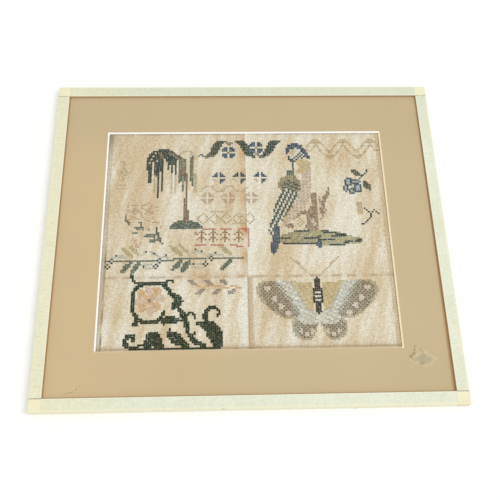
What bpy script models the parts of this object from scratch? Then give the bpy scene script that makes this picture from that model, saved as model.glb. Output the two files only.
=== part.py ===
"""Framed cross stitch sampler: creased linen behind a bevelled mat board, in a narrow frame.

It lies on its back, face up. X runs along the picture's width, Y runs up the picture, and Z points out
of its face. The origin is the middle of the frame's back, in the plane that the rails rest on.
"""

import bmesh
import bpy
import numpy as np

MM = 0.001

# Frame: four rails of one moulding. The top and bottom rails run the full width, over the side rails' ends.
FRAME_WIDTH = 401 * MM
FRAME_HEIGHT = 349 * MM
FRAME_DEPTH = 10 * MM
RAIL_FACE = 12 * MM
OUTER_ROUND = 1.4 * MM
SIGHT_ROUND = 0.5 * MM

# Rebate: the step at the back of each rail that holds the mat, the cloth and the board.
REBATE_WIDTH = 4.5 * MM
REBATE_DEPTH = 7.7 * MM

# The gap between one piece and the next.
FIT_GAP = 0.3 * MM

# Mat board: its window is cut at 45 degrees, so the white core shows as a bevel, and sits a little low.
MAT_THICKNESS = 1.4 * MM
MAT_SIDE_BORDER = 43.5 * MM
MAT_UPPER_BORDER = 44.5 * MM
MAT_LOWER_BORDER = 42 * MM

# Linen: it runs behind the mat on all sides, and keeps the two creases of having been folded in four.
CLOTH_THICKNESS = 1 * MM
CLOTH_MARGIN = 7 * MM
CREASE_X = 0 * MM
CREASE_Y = -46 * MM
CREASE_HEIGHT = 0.62 * MM
CREASE_SPREAD = 6 * MM
WAVE_HEIGHT = 0.2 * MM
WAVE_LENGTH_X = 67 * MM
WAVE_LENGTH_Y = 88 * MM
CLOTH_GRID = 10.5 * MM
CREASE_LINES = np.array([-5.5, -2.2, 2.2, 5.5]) * MM

# Backing board: it closes the back, a little inside the rails.
BOARD_THICKNESS = 2.4 * MM
BOARD_RECESS = 0.3 * MM

# How far a cutter runs past what it cuts, and how near a point counts as on a face.
CUT_MARGIN = 5 * MM
NEAR = 0.1 * MM

OPENING_WIDTH = FRAME_WIDTH - 2 * RAIL_FACE
OPENING_HEIGHT = FRAME_HEIGHT - 2 * RAIL_FACE
REBATE_SPAN_X = OPENING_WIDTH + 2 * REBATE_WIDTH
REBATE_SPAN_Y = OPENING_HEIGHT + 2 * REBATE_WIDTH
WINDOW_WIDTH = OPENING_WIDTH - 2 * MAT_SIDE_BORDER
WINDOW_HEIGHT = OPENING_HEIGHT - MAT_UPPER_BORDER - MAT_LOWER_BORDER
WINDOW_MIDDLE_Y = (MAT_LOWER_BORDER - MAT_UPPER_BORDER) / 2
MAT_TOP = REBATE_DEPTH - FIT_GAP
MAT_UNDERSIDE = MAT_TOP - MAT_THICKNESS
BOARD_TOP = BOARD_RECESS + BOARD_THICKNESS
CLOTH_MIDDLE = (MAT_UNDERSIDE + BOARD_TOP) / 2


def empty_scene():
    """Removes what the scene starts with."""
    for thing in list(bpy.data.objects):
        bpy.data.objects.remove(thing, do_unlink=True)


def new_collection(name):
    collection = bpy.data.collections.new(name)
    bpy.context.scene.collection.children.link(collection)
    return collection


def finish(name, colour, roughness):
    """A plain non-metallic material."""
    material = bpy.data.materials.new(name)
    material.use_nodes = True
    shader = material.node_tree.nodes["Principled BSDF"]
    shader.inputs["Base Color"].default_value = (*colour, 1)
    shader.inputs["Roughness"].default_value = roughness
    shader.inputs["Metallic"].default_value = 0
    material.diffuse_color = (*colour, 1)
    return material


def add_object(name, mesh, collection, material=None):
    thing = bpy.data.objects.new(name, mesh)
    collection.objects.link(thing)
    if material:
        mesh.materials.append(material)
    return thing


def block(size, low_z):
    """A bmesh cuboid over the origin, with its underside at low_z."""
    shape = bmesh.new()
    bmesh.ops.create_cube(shape, size=1)
    bmesh.ops.scale(shape, vec=size, verts=shape.verts)
    bmesh.ops.translate(shape, vec=(0, 0, low_z + size[2] / 2), verts=shape.verts)
    return shape


def to_mesh(shape, name):
    mesh = bpy.data.meshes.new(name)
    shape.to_mesh(mesh)
    shape.free()
    return mesh


def make_cutter(name, shape, collection):
    cutter = add_object(name, to_mesh(shape, name), collection)
    cutter.hide_render = True
    cutter.display_type = "WIRE"
    return cutter


def cut(thing, cutter):
    """Takes the cutter's shape out of the thing."""
    boolean = thing.modifiers.new("cut_" + cutter.name, "BOOLEAN")
    boolean.operation = "DIFFERENCE"
    boolean.solver = "EXACT"
    boolean.object = cutter


def edges_where(shape, test):
    """The edges whose two ends both pass the test."""
    return [edge for edge in shape.edges if all(test(vert.co) for vert in edge.verts)]


def round_edges(shape, edges, radius, segments):
    bmesh.ops.bevel(shape, geom=edges, offset=radius, segments=segments, profile=0.5, affect="EDGES")


def rail_mesh(name, length, ends_show):
    """A rail along X with its outer side at +Y. Its face's outer edge is rounded, and its ends' where they show.
    The upright corners stay sharp."""
    shape = block((length, RAIL_FACE, FRAME_DEPTH), low_z=0)
    end = length / 2 - NEAR
    outer = RAIL_FACE / 2 - NEAR
    face = FRAME_DEPTH - NEAR
    outer_edges = edges_where(shape, lambda point: point.y > outer and point.z > face)
    if ends_show:
        outer_edges += edges_where(shape, lambda point: point.x > end and point.z > face)
        outer_edges += edges_where(shape, lambda point: point.x < -end and point.z > face)
    round_edges(shape, list(set(outer_edges)), OUTER_ROUND, 4)
    sight_edges = edges_where(shape, lambda point: point.y < -outer and point.z > face)
    round_edges(shape, sight_edges, SIGHT_ROUND, 2)
    mesh = to_mesh(shape, name)
    mesh.shade_smooth()
    mesh.set_sharp_from_angle(angle=np.radians(40))
    return mesh


def make_rails(collection, rebate):
    """Four rails, turned so that each one's outer side faces away from the picture."""
    cream = finish("cream_rail", (0.79, 0.78, 0.62), 0.75)
    across = FRAME_HEIGHT / 2 - RAIL_FACE / 2
    aside = FRAME_WIDTH / 2 - RAIL_FACE / 2
    long_mesh = rail_mesh("long_rail", FRAME_WIDTH, ends_show=True)
    side_mesh = rail_mesh("side_rail", OPENING_HEIGHT - 2 * FIT_GAP, ends_show=False)
    long_mesh.materials.append(cream)
    side_mesh.materials.append(cream)
    places = {
        "rail_top": (long_mesh, (0, across, 0), 0),
        "rail_left": (side_mesh, (-aside, 0, 0), 90),
        "rail_bottom": (long_mesh, (0, -across, 0), 180),
        "rail_right": (side_mesh, (aside, 0, 0), -90),
    }
    for name, (mesh, place, turn) in places.items():
        rail = add_object(name, mesh, collection)
        rail.location = place
        rail.rotation_euler.z = np.radians(turn)
        cut(rail, rebate)


def window_shape():
    """The mat window's cutter: a block that widens by 45 degrees from the mat's underside to its face."""
    height = MAT_THICKNESS + 2 * CUT_MARGIN
    shape = block((1, 1, height), low_z=MAT_UNDERSIDE - CUT_MARGIN)
    for vert in shape.verts:
        spread = vert.co.z - MAT_TOP
        vert.co.x = np.sign(vert.co.x) * (WINDOW_WIDTH / 2 + spread)
        vert.co.y = np.sign(vert.co.y) * (WINDOW_HEIGHT / 2 + spread) + WINDOW_MIDDLE_Y
    return shape


def make_mat(collection, window):
    """A tan board that fills the rebate, with the bevelled window."""
    size = (REBATE_SPAN_X - 2 * FIT_GAP, REBATE_SPAN_Y - 2 * FIT_GAP, MAT_THICKNESS)
    mesh = to_mesh(block(size, low_z=MAT_UNDERSIDE), "mat_board")
    mat = add_object("mat_board", mesh, collection, finish("tan_board", (0.6, 0.47, 0.28), 0.9))
    cut(mat, window)


def fold_height(x, y):
    """The linen's height above flat: two creases that cross, and slow waves between them.

    A crease is highest on its line and dies away on both sides. The upright one stands proud above the
    level one and sinks below it.
    """
    from_upright = np.abs(x - CREASE_X)
    from_level = y - CREASE_Y
    side = np.tanh(from_level / CREASE_SPREAD)
    upright = side * np.exp(-from_upright / CREASE_SPREAD)
    level = -0.8 * np.exp(-np.abs(from_level) / CREASE_SPREAD)
    waves = np.sin(2 * np.pi * (x + 0.35 * y) / WAVE_LENGTH_X) * np.cos(2 * np.pi * y / WAVE_LENGTH_Y)
    return CREASE_HEIGHT * (upright + level) + WAVE_HEIGHT * waves


def grid_lines(middle, half, crease):
    """Lines across the linen, evenly spaced on each side of its crease, and closer beside the crease."""
    low = middle - half
    high = middle + half
    before = np.linspace(low, crease, round((crease - low) / CLOTH_GRID) + 1)
    after = np.linspace(crease, high, round((high - crease) / CLOTH_GRID) + 1)[1:]
    return np.sort(np.concatenate([before, after, crease + CREASE_LINES]))


def make_cloth(collection):
    """A thin sheet on the folds' height, given its thickness by Solidify."""
    lines_x = grid_lines(0, WINDOW_WIDTH / 2 + CLOTH_MARGIN, CREASE_X)
    lines_y = grid_lines(WINDOW_MIDDLE_Y, WINDOW_HEIGHT / 2 + CLOTH_MARGIN, CREASE_Y)
    shape = bmesh.new()
    bmesh.ops.create_grid(shape, x_segments=len(lines_x) - 1, y_segments=len(lines_y) - 1, size=1)
    for vert in shape.verts:
        column = round((vert.co.x + 1) / 2 * (len(lines_x) - 1))
        row = round((vert.co.y + 1) / 2 * (len(lines_y) - 1))
        x = lines_x[column]
        y = lines_y[row]
        vert.co = (x, y, CLOTH_MIDDLE + fold_height(x, y))
    mesh = to_mesh(shape, "sampler_cloth")
    mesh.shade_smooth()
    cloth = add_object("sampler_cloth", mesh, collection, finish("linen", (0.72, 0.63, 0.47), 0.95))
    wall = cloth.modifiers.new("thickness", "SOLIDIFY")
    wall.thickness = CLOTH_THICKNESS
    wall.offset = 0


def make_backing(collection):
    """A plain board in the rebate, behind the linen."""
    size = (REBATE_SPAN_X - 2 * FIT_GAP, REBATE_SPAN_Y - 2 * FIT_GAP, BOARD_THICKNESS)
    mesh = to_mesh(block(size, low_z=BOARD_RECESS), "backing_board")
    add_object("backing_board", mesh, collection, finish("grey_board", (0.36, 0.33, 0.28), 0.95))


empty_scene()
sampler = new_collection("framed_cross_stitch_sampler")
cutters = new_collection("cutters")
rebate_size = (REBATE_SPAN_X, REBATE_SPAN_Y, REBATE_DEPTH + CUT_MARGIN)
rebate_cutter = make_cutter("rebate", block(rebate_size, low_z=-CUT_MARGIN), cutters)
window_cutter = make_cutter("window", window_shape(), cutters)
make_rails(sampler, rebate_cutter)
make_mat(sampler, window_cutter)
make_cloth(sampler)
make_backing(sampler)
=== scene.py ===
import bpy
import numpy as np
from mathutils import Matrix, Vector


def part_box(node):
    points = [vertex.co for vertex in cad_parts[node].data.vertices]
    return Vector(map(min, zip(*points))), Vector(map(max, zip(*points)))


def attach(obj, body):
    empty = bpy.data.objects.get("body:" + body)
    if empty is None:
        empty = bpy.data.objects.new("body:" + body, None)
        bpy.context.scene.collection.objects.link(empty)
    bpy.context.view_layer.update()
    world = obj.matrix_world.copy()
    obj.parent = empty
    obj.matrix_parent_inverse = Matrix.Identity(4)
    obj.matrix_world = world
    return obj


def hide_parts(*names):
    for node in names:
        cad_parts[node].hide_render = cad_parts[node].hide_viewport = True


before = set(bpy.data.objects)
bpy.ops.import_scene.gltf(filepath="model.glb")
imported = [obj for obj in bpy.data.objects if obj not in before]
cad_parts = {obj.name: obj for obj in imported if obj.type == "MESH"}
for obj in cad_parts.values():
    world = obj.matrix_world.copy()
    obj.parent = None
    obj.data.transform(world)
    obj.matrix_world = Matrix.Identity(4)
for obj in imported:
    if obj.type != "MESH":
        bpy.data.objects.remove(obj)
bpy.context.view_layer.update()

# Camera and room
# The framed sampler lies on its back on a pale floor. The camera looks down at its face from in front,
# and one large soft lamp stands to the right, as a studio light would.
MM = 0.001
CAMERA_PLACE = (-0.02146, -0.28052, 0.62772)
CAMERA_TURN = (22.885, -1.614, -1.371)
CAMERA_LENS = 48.96
FLOOR_SIZE = 6.0
FLOOR_DROP = 0.1 * MM
LAMP_PLACE = (1.5, -0.55, 2.45)
LAMP_SIZE = 1.3
LAMP_POWER = 24.0
ROOM_LIGHT = 0.86
LIGHT_LEVEL = 1.08


def tone(red, green, blue):
    """A colour of 0 to 255 values, as it looks in this room's light, turned into the share it reflects."""
    shares = np.array([red, green, blue]) / 255
    light = np.where(shares <= 0.04045, shares / 12.92, ((shares + 0.055) / 1.055) ** 2.4)
    return (*(light / LIGHT_LEVEL).tolist(), 1.0)


def add_node(tree, kind, inputs=(), **settings):
    """A shader node. Each input, by number or name, is linked if it is a socket and set if it is a value."""
    node = tree.nodes.new("ShaderNode" + kind)
    for name, value in settings.items():
        setattr(node, name, value)
    pairs = inputs.items() if isinstance(inputs, dict) else enumerate(inputs)
    for key, value in pairs:
        if isinstance(value, bpy.types.NodeSocket):
            tree.links.new(value, node.inputs[key])
        else:
            node.inputs[key].default_value = value
    return node


def work(tree, operation, *values):
    """One step of arithmetic on the values."""
    return add_node(tree, "Math", values, operation=operation).outputs[0]


def times(tree, first, second):
    """The product of two values."""
    return work(tree, "MULTIPLY", first, second)


def ramp(tree, value, low, high, start=0.0, end=1.0):
    """A value that goes smoothly from start to end as the input goes from low to high."""
    inputs = (value, low, high, start, end)
    return add_node(tree, "MapRange", inputs, interpolation_type="SMOOTHSTEP").outputs[0]


def blend_tones(tree, share, first, second, way="MIX"):
    """The first colour, mixed with the second by that share."""
    inputs = {0: share, 6: first, 7: second}
    return add_node(tree, "Mix", inputs, data_type="RGBA", blend_type=way).outputs[2]


def lay_over(tree, base, layers):
    """The base colour with each layer's colour mixed over it in turn, by that layer's share."""
    for share, colour in layers:
        base = blend_tones(tree, share, base, colour)
    return base


def shaded(tree, colour, shade):
    """The colour, made darker or lighter by a grey value."""
    grey = add_node(tree, "CombineXYZ", (shade, shade, shade)).outputs[0]
    return blend_tones(tree, 1.0, colour, grey, "MULTIPLY")


def noise(tree, place, scale, detail=2.0, roughness=0.5):
    """A cloudy value from 0 to 1."""
    inputs = {"Vector": place, "Scale": scale, "Detail": detail, "Roughness": roughness}
    return add_node(tree, "TexNoise", inputs).outputs[0]


def stretch(tree, place, scale):
    """The place, scaled on each axis, so that a pattern on it becomes streaks."""
    return add_node(tree, "Mapping", {"Vector": place, "Scale": scale}).outputs[0]


def new_finish(name, roughness, sheen=0.0):
    """A material with its Principled shader, and the coordinates of the piece it is on."""
    finish = bpy.data.materials.new(name)
    finish.use_nodes = True
    tree = finish.node_tree
    shader = tree.nodes["Principled BSDF"]
    shader.inputs["Roughness"].default_value = roughness
    shader.inputs["Sheen Weight"].default_value = sheen
    shader.inputs["Specular IOR Level"].default_value = 0.2
    place = tree.nodes.new("ShaderNodeTexCoord").outputs["Object"]
    return finish, tree, shader, place


def give_relief(tree, shader, height, depth, strength=1.0):
    """Raises the surface by height times depth, in the light that falls on it."""
    inputs = {"Strength": strength, "Distance": depth, "Height": height}
    bump = add_node(tree, "Bump", inputs)
    tree.links.new(bump.outputs[0], shader.inputs["Normal"])


def new_piece(name, points, faces, finish, slot=None):
    """A mesh object at the origin, smooth, with its finish."""
    mesh = bpy.data.meshes.new(name)
    mesh.from_pydata(points, [], faces)
    mesh.shade_smooth()
    mesh.materials.append(finish)
    piece = bpy.data.objects.new(name, mesh)
    bpy.context.scene.collection.objects.link(piece)
    if slot:
        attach(piece, "root")
    return piece


scene = bpy.context.scene
scene.view_settings.view_transform = "Standard"
camera_data = bpy.data.cameras.new("camera")
camera_data.lens = CAMERA_LENS
camera_data.sensor_width = 36
camera = bpy.data.objects.new("camera", camera_data)
camera.location = CAMERA_PLACE
camera.rotation_euler = np.radians(CAMERA_TURN)
scene.collection.objects.link(camera)
scene.camera = camera

lamp_data = bpy.data.lights.new("soft_lamp", "AREA")
lamp_data.size = LAMP_SIZE
lamp_data.energy = LAMP_POWER
lamp = bpy.data.objects.new("soft_lamp", lamp_data)
lamp.location = LAMP_PLACE
lamp.rotation_euler = (-lamp.location).to_track_quat("-Z", "Y").to_euler()
scene.collection.objects.link(lamp)

room = bpy.data.worlds.new("room")
room.use_nodes = True
room.node_tree.nodes["Background"].inputs["Color"].default_value = (1, 1, 1, 1)
room.node_tree.nodes["Background"].inputs["Strength"].default_value = ROOM_LIGHT
scene.world = room

floor_finish, floor_tree, floor_shader, floor_place = new_finish("pale_floor", 0.9)
floor_cloud = noise(floor_tree, floor_place, 3.0)
floor_tone = blend_tones(floor_tree, floor_cloud, (0.95, 0.95, 0.95, 1), (0.97, 0.97, 0.965, 1))
floor_tree.links.new(floor_tone, floor_shader.inputs["Base Color"])
floor_half = FLOOR_SIZE / 2
floor_corners = [(x, y, -FLOOR_DROP) for x, y in ((-1, -1), (1, -1), (1, 1), (-1, 1))]
floor_points = [(x * floor_half, y * floor_half, z) for x, y, z in floor_corners]
floor = new_piece("floor", floor_points, [(0, 1, 2, 3)], floor_finish)


# Shared effects
# Two effects serve several finishes: threads that pass over and under each other, as in linen and in
# the cloth tape on the rails, and the slow clouds of age.
def new_group(name, inputs, outputs):
    """An empty shader node group with named inputs, each with its first value, and named outputs."""
    group = bpy.data.node_groups.new(name, "ShaderNodeTree")
    for label, kind, value in inputs:
        socket = group.interface.new_socket(label, in_out="INPUT", socket_type="NodeSocket" + kind)
        if value is not None:
            socket.default_value = value
    for label, kind in outputs:
        group.interface.new_socket(label, in_out="OUTPUT", socket_type="NodeSocket" + kind)
    return group, group.nodes.new("NodeGroupInput").outputs, group.nodes.new("NodeGroupOutput").inputs


def use_group(tree, group, **inputs):
    """The group's outputs, placed in a material with its own values."""
    node = tree.nodes.new("ShaderNodeGroup")
    node.node_tree = group
    for label, value in inputs.items():
        if isinstance(value, bpy.types.NodeSocket):
            tree.links.new(value, node.inputs[label])
        else:
            node.inputs[label].default_value = value
    return node.outputs


def make_weave_group():
    """Plain weave. Along X and Y each thread is an arch, the sine of its place over the pitch. The product
    of the two sines changes sign from one crossing to the next, and says which thread lies on top there.
    Height is the higher of the two arches, and Slubs is a streaky value along each thread, from 0 to 1."""
    inputs = [("Vector", "Vector", None), ("Pitch", "Float", 0.001), ("Wobble", "Float", 0.3)]
    group, given, result = new_group("weave", inputs, [("Height", "Float"), ("Slubs", "Float")])
    turns = work(group, "DIVIDE", 1.0, given["Pitch"])
    counted = add_node(group, "VectorMath", (given["Vector"],), operation="SCALE")
    group.links.new(turns, counted.inputs["Scale"])
    parts = add_node(group, "SeparateXYZ", (counted.outputs[0],)).outputs
    drift = noise(group, counted.outputs[0], 0.16, 3.0)
    sway = times(group, work(group, "SUBTRACT", drift, 0.5), given["Wobble"])
    warp_place = times(group, work(group, "ADD", parts[0], sway), np.pi)
    weft_place = times(group, work(group, "SUBTRACT", parts[1], sway), np.pi)
    warp_sine = work(group, "SINE", warp_place)
    weft_sine = work(group, "SINE", weft_place)
    warp_arch = work(group, "ABSOLUTE", warp_sine)
    weft_arch = work(group, "ABSOLUTE", weft_sine)
    crossing = times(group, warp_sine, weft_sine)
    over = work(group, "MULTIPLY_ADD", crossing, 0.5, 0.5)
    under = work(group, "SUBTRACT", 1.0, over)
    warp_height = times(group, warp_arch, over)
    weft_height = times(group, weft_arch, under)
    group.links.new(work(group, "MAXIMUM", warp_height, weft_height), result["Height"])
    warp_slubs = noise(group, stretch(group, counted.outputs[0], (0.9, 0.2, 1)), 1.0, 2.0)
    weft_slubs = noise(group, stretch(group, counted.outputs[0], (0.18, 0.9, 1)), 1.0, 2.0)
    both = times(group, work(group, "ADD", warp_slubs, weft_slubs), 0.5)
    group.links.new(ramp(group, both, 0.36, 0.64), result["Slubs"])
    return group


def make_age_group():
    """Slow clouds over finer ones: Cloud is broad, Fleck is the small dark spots of handling, both 0 to 1."""
    inputs = [("Vector", "Vector", None), ("Size", "Float", 0.03)]
    group, given, result = new_group("age", inputs, [("Cloud", "Float"), ("Fleck", "Float")])
    rate = work(group, "DIVIDE", 1.0, given["Size"])
    broad = noise(group, given["Vector"], rate, 3.0, 0.6)
    group.links.new(ramp(group, broad, 0.3, 0.7), result["Cloud"])
    fine = noise(group, given["Vector"], times(group, rate, 9.0), 3.0, 0.6)
    group.links.new(ramp(group, fine, 0.62, 0.74), result["Fleck"])
    return group


weave_group = make_weave_group()
age_group = make_age_group()

# Rails
# Four lengths of narrow wooden moulding, covered with pale cloth tape. The side rails are butted
# between the top and bottom ones, whose ends show as yellower corners.
RAIL_SIGHT = {"x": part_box("rail_right")[0].x, "y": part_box("rail_top")[0].y}
RAIL_OUTSIDE = {"x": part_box("rail_right")[1].x, "y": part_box("rail_top")[1].y}
RAIL_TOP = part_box("rail_right")[1].z
RAIL_TONE = tone(231, 234, 208)
RAIL_PALE = tone(243, 245, 226)
RAIL_YELLOW = tone(249, 242, 206)
RAIL_UPPER = tone(218, 223, 196)
RAIL_LEFT = tone(242, 236, 198)
RAIL_TICK = tone(204, 200, 166)
RAIL_DIRT = tone(116, 84, 56)
# The rail's inner side: bare brown wood with painted shade.
RAIL_SIDE_WOOD_SHADE = tone(196, 152, 100)
RAIL_WORN = tone(236, 224, 184)
TAPE_PITCH = 0.75 * MM
SIGHT_LINE = 0.9 * MM
EDGE_YELLOW = 2.4 * MM
JOINT_DIRT = 0.55 * MM
JOINT_HALF = 0.2 * MM
CHIP_REACH = 1.2 * MM


def make_rail_finish(name, along_x):
    """Cloth tape: fine weave, ticks across the rail, a pale sight edge, and below it the inner side in brown,
    partly bare wood and partly painted shade, yellow ends and grimy joints."""
    finish, tree, shader, place = new_finish(name, 0.7, 0.1)
    parts = add_node(tree, "SeparateXYZ", (place,)).outputs
    from_x = work(tree, "ABSOLUTE", parts[0])
    from_y = work(tree, "ABSOLUTE", parts[1])
    if along_x:
        across, sight, outside = from_y, RAIL_SIGHT["y"], RAIL_OUTSIDE["y"]
        streaks = stretch(tree, place, (1100, 90, 90))
    else:
        across, sight, outside = from_x, RAIL_SIGHT["x"], RAIL_OUTSIDE["x"]
        streaks = stretch(tree, place, (90, 1100, 90))
    weave = use_group(tree, weave_group, Vector=place, Pitch=TAPE_PITCH, Wobble=0.8)
    age = use_group(tree, age_group, Vector=place, Size=0.03)
    ticks = ramp(tree, noise(tree, streaks, 1.0, 2.0, 0.6), 0.56, 0.74)
    tape = lay_over(tree, RAIL_TONE, (
        (times(tree, age["Cloud"], 0.5), RAIL_PALE),
        (ramp(tree, parts[1], 0.1, 0.17, 0.0, 0.55), RAIL_UPPER),
        (ramp(tree, parts[0], -0.1, -0.19, 0.0, 0.6), RAIL_LEFT),
        (times(tree, ticks, 0.5), RAIL_TICK),
    ))
    lint = ramp(tree, noise(tree, place, 650.0, 2.0, 0.7), 0.3, 0.7, 0.94, 1.05)
    tape = shaded(tree, tape, times(tree, ramp(tree, weave["Height"], 0.05, 0.7, 0.89, 1.03), lint))
    rim = ramp(tree, across, outside - EDGE_YELLOW, outside - 0.3 * EDGE_YELLOW)
    line = ramp(tree, across, sight + SIGHT_LINE, sight + 0.7 * SIGHT_LINE)
    past_x = ramp(tree, from_x, RAIL_SIGHT["x"] - JOINT_HALF, RAIL_SIGHT["x"] + JOINT_HALF)
    past_y = ramp(tree, from_y, RAIL_SIGHT["y"] - JOINT_HALF, RAIL_SIGHT["y"] + JOINT_HALF)
    corner = times(tree, past_x, past_y)
    worn = blend_tones(tree, age["Cloud"], RAIL_YELLOW, RAIL_WORN)
    # Below the rounded top, the rail's inner side is painted brown: bare wood, and painted shade along the
    # sight edge.
    below = ramp(tree, parts[2], RAIL_TOP - 0.25 * MM, RAIL_TOP - 0.7 * MM)
    side = times(tree, ramp(tree, across, sight + 0.3 * MM, sight + 0.1 * MM), below)
    near_joint = work(tree, "ABSOLUTE", work(tree, "SUBTRACT", from_y, RAIL_SIGHT["y"]))
    joint = times(tree, ramp(tree, near_joint, JOINT_DIRT, 0.0), past_x)
    broken = ramp(tree, noise(tree, place, 900.0, 2.0), 0.42, 0.6)
    chips = times(tree, ramp(tree, across, outside - CHIP_REACH, outside), age["Fleck"])
    tape = lay_over(tree, tape, (
        (times(tree, rim, 0.6), RAIL_YELLOW),
        (times(tree, line, 0.75), RAIL_PALE),
        (times(tree, corner, 0.85), worn),
        (side, RAIL_SIDE_WOOD_SHADE),
        (times(tree, joint, broken), RAIL_DIRT),
        (times(tree, chips, 0.75), RAIL_DIRT),
    ))
    tree.links.new(tape, shader.inputs["Base Color"])
    relief = work(tree, "MULTIPLY_ADD", ticks, -0.6, weave["Height"])
    give_relief(tree, shader, relief, 0.12 * MM, 0.6)
    return finish


def dress(node_names, finish):
    """Gives CAD pieces their finish."""
    for node_name in node_names:
        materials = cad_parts[node_name].data.materials
        materials.clear()
        materials.append(finish)


dress(("rail_top", "rail_bottom"), make_rail_finish("cream_tape_across", along_x=True))
dress(("rail_left", "rail_right"), make_rail_finish("cream_tape_upright", along_x=False))

# Mat board
# A sheet of board with a matt tan facing over a white core. The window is cut at 45 degrees, so the core
# shows as a narrow bevel. The facing has a scuff at the lower right, and at the lower left a dent drawn as
# painted shade and a painted highlight.
WINDOW_HALF_X = 145 * MM
WINDOW_LOW_Y = -120.5 * MM
WINDOW_HIGH_Y = 118 * MM
MAT_TONE = tone(207, 188, 153)
MAT_WARM = tone(211, 187, 144)
MAT_TOP_SHADE = tone(201, 181, 144)
MAT_CLOUD = tone(203, 182, 144)
MAT_DULL = tone(197, 178, 138)
MAT_CORE = (0.98, 0.975, 0.95, 1)
# Painted warm shade on the right and lower bevels, which face away from the lamp.
MAT_CORE_RIGHT_SHADE = (1, 0.89, 0.6, 1)
MAT_CORE_LOWER_SHADE = tone(228, 208, 168)
MAT_SCUFF = tone(170, 164, 136)
MAT_HALO = tone(222, 206, 172)
SCUFF_PLACE = (161.8 * MM, -131.2 * MM)
SCUFF_REACH = (15 * MM, 8 * MM)
# Painted shadow on the facing along the rails.
MAT_RAIL_SHADOW = tone(182, 146, 98)
# Marks on the facing, and the lines of a dent's painted shade and highlight: start and end in mm, half width
# in mm, share, and tone.
MAT_MARKS = (
    (155.2, -119, 153.8, -126, 1.5, 0.8, (160, 138, 96)),
    (153.8, -126, 150, -129, 2.0, 0.8, (160, 136, 94)),
    (150, -129, 153.5, -132.5, 1.8, 0.6, (164, 142, 100)),
    (158.5, -136, 161.5, -135.5, 1.8, 0.6, (146, 138, 108)),
    (160, -122, 163, -128, 1.4, 0.7, (172, 152, 110)),
    # A dent at the lower left, drawn only in colour: two lines of painted shade and one painted highlight.
    (-169, -158.2, -162.5, -156.8, 1.3, 0.5, (180, 150, 104)),
    (-162.5, -156.8, -155.5, -150.6, 1.2, 0.55, (178, 148, 102)),
    (-164, -155.8, -157, -149.6, 1.0, 0.6, (232, 210, 168)),
)


def near_line(tree, parts, start, end, half_width):
    """1 on a line from start to end and 0 past its half width. The nearest point of the line is a share of
    the way along it: how far the point lies along the line, over the line's length."""
    along = (end[0] - start[0], end[1] - start[1])
    off_x = work(tree, "SUBTRACT", parts[0], start[0])
    off_y = work(tree, "SUBTRACT", parts[1], start[1])
    reached = work(tree, "MULTIPLY_ADD", off_x, along[0], times(tree, off_y, along[1]))
    share = ramp(tree, reached, 0.0, along[0] ** 2 + along[1] ** 2)
    gap_x = work(tree, "SUBTRACT", off_x, times(tree, share, along[0]))
    gap_y = work(tree, "SUBTRACT", off_y, times(tree, share, along[1]))
    squares = work(tree, "ADD", times(tree, gap_x, gap_x), times(tree, gap_y, gap_y))
    return ramp(tree, work(tree, "SQRT", squares), half_width, 0.0)


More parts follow.
